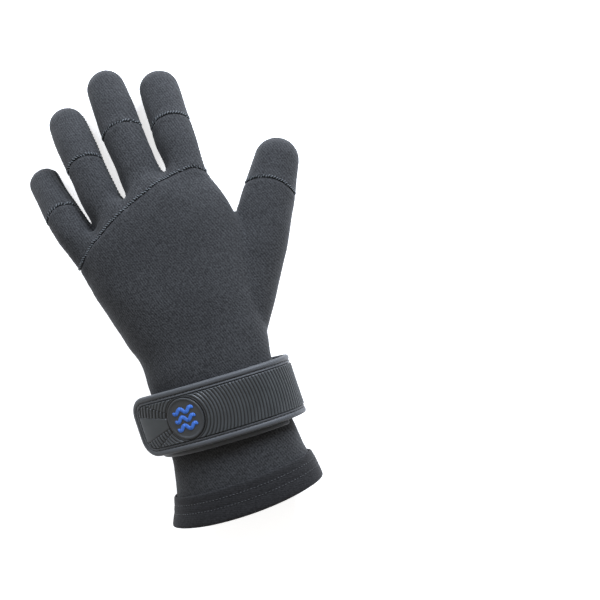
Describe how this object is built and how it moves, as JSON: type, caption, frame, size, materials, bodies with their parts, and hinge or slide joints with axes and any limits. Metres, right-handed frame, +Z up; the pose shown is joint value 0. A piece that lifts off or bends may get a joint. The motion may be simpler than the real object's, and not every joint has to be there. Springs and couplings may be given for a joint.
{
  "type": "diving glove",
  "caption": "Left-hand foam rubber diving glove with a gripping palm print, sewn fingertip and knuckle seams, a hemmed cuff and a padded wrist strap through a plastic ring.",
  "frame": {"origin": "middle of the bounding box, on the surface that the glove lies on", "axes": "+Y from the cuff to the fingertips, +X to the thumb's side, +Z up from the palm to the back of the hand"},
  "size_m": [0.1684, 0.2898, 0.0661],
  "materials": {
    "jersey": "matt knitted face on foam rubber",
    "grip_cloth": "matt knit with thin raised grip lines",
    "hem_cloth": "matt knit, folded",
    "strap_cloth": "matt knit on thin foam rubber",
    "binding_tape": "smooth woven tape",
    "pile": "brushed loop pile",
    "moulded_rubber": "satin, ribbed",
    "blue_rubber": "satin",
    "ring_plastic": "satin moulded"
  },
  "bodies": {
    "root": {"tip_index": "jersey", "tip_middle": "jersey", "tip_ring": "jersey", "tip_little": "jersey", "tip_thumb": "jersey", "cuff_panel": "jersey", "back_panel": "jersey", "back_thumb": "jersey", "back_index": "jersey", "back_middle": "jersey", "back_ring": "jersey", "back_little": "jersey", "grip_index": "grip_cloth", "grip_middle": "grip_cloth", "grip_ring": "grip_cloth", "grip_little": "grip_cloth", "grip_thumb": "grip_cloth", "grip_palm": "grip_cloth", "hem_band": "hem_cloth", "lower_strap": "strap_cloth", "lower_strap_tape": "binding_tape", "pile_strip": "pile", "upper_strap": "strap_cloth", "upper_strap_tape": "binding_tape", "ribbed_pad": "moulded_rubber", "badge": "moulded_rubber", "badge_wave_1": "blue_rubber", "badge_wave_2": "blue_rubber", "badge_wave_3": "blue_rubber", "ring": "ring_plastic"}
  },
  "joints": []
}
